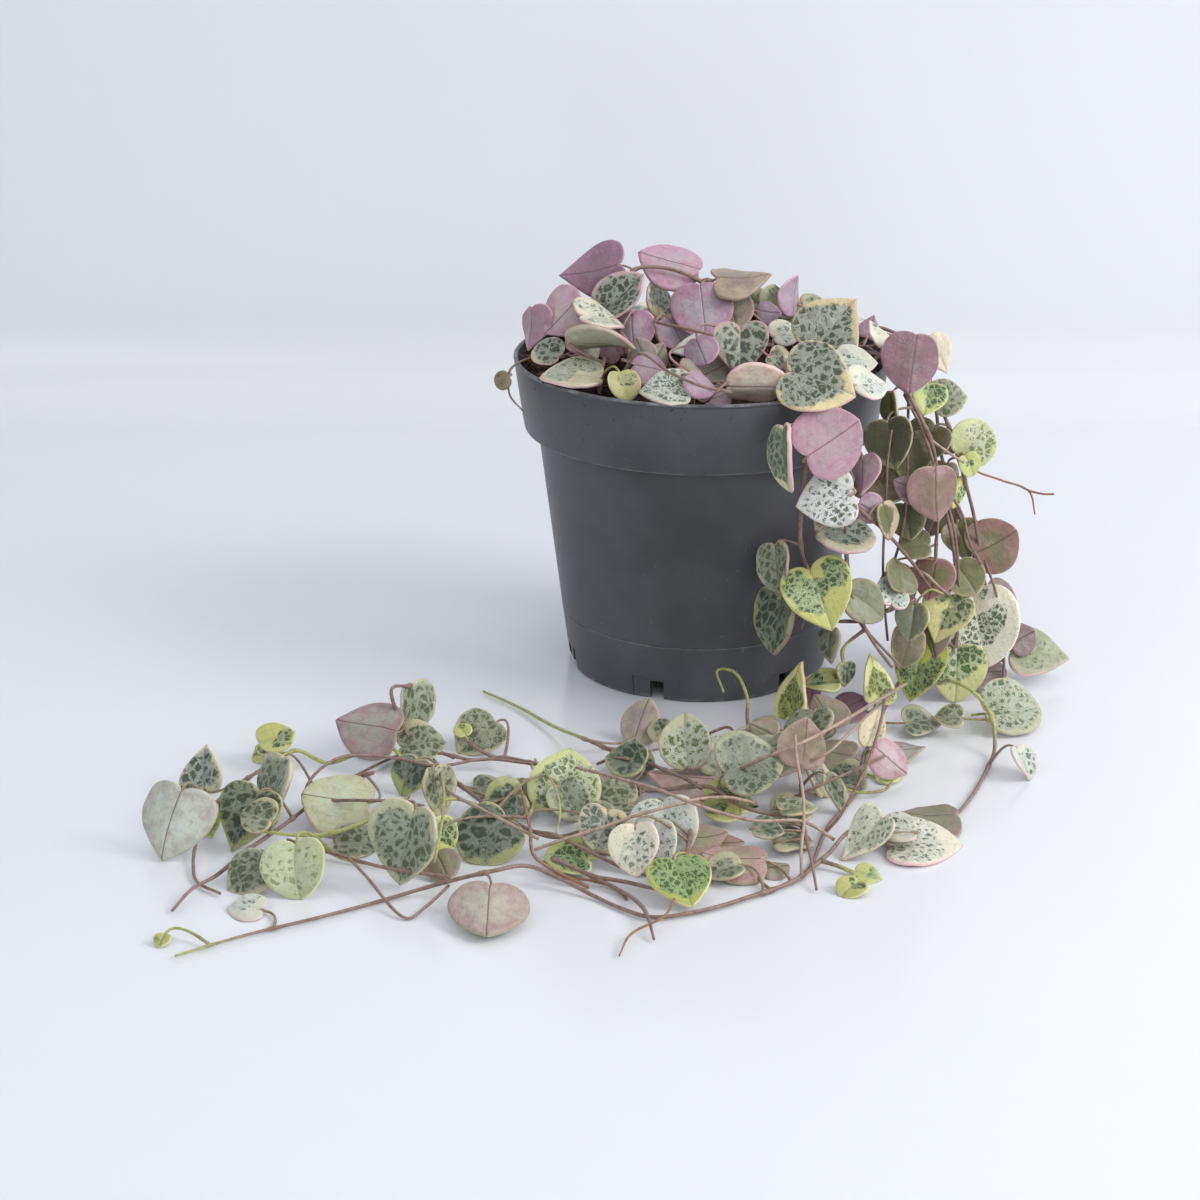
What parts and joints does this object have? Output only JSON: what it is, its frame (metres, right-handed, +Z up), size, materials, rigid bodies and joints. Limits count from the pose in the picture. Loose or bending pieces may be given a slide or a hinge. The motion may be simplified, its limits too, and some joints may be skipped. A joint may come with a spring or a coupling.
{
  "type": "potted string of hearts plant",
  "caption": "Variegated string of hearts in a round nursery pot, its leafy stems hanging over the rim and trailing on the surface.",
  "frame": {"origin": "middle of the pot's base on the surface it stands on, at the flat centre pad", "axes": "+Z up, -Y toward the front where the trails lie, +X to the right where the stems hang"},
  "size_m": [0.2452, 0.2399, 0.1211],
  "materials": {
    "pot": "matte charcoal, finely scuffed",
    "soil": "loose dark potting soil",
    "crown_leaves": "variegated silver green and cream with mauve undersides",
    "hanging_leaves": "variegated silver green and cream with mauve undersides",
    "trailing_leaves": "variegated silver green, cream and lime",
    "bare_stems": "dry brown stem"
  },
  "bodies": {
    "root": {"pot": "pot", "soil": "soil", "crown_left": "crown_leaves", "crown_umbrella": "crown_leaves", "crown_inner": "crown_leaves", "crown_arch": "crown_leaves", "crown_back": "crown_leaves", "crown_heart": "crown_leaves", "crown_front": "crown_leaves", "crown_low": "crown_leaves", "crown_high": "crown_leaves", "crown_right": "crown_leaves", "dry_sprig": "bare_stems", "front_main": "hanging_leaves", "front_side": "hanging_leaves", "curtain_inner": "hanging_leaves", "curtain_mid": "hanging_leaves", "curtain_cross": "hanging_leaves", "curtain_outer": "hanging_leaves", "curtain_back": "hanging_leaves", "trail_loop": "trailing_leaves", "trail_right": "trailing_leaves", "trail_front": "trailing_leaves", "trail_middle": "trailing_leaves", "trail_inner": "trailing_leaves", "trail_short": "trailing_leaves", "trail_tip": "trailing_leaves", "tendril_front": "bare_stems", "trail_left": "trailing_leaves", "trail_brown": "trailing_leaves", "trail_olive": "trailing_leaves", "crown_rear_left": "crown_leaves", "crown_rear": "crown_leaves", "crown_rear_right": "crown_leaves"}
  },
  "joints": []
}
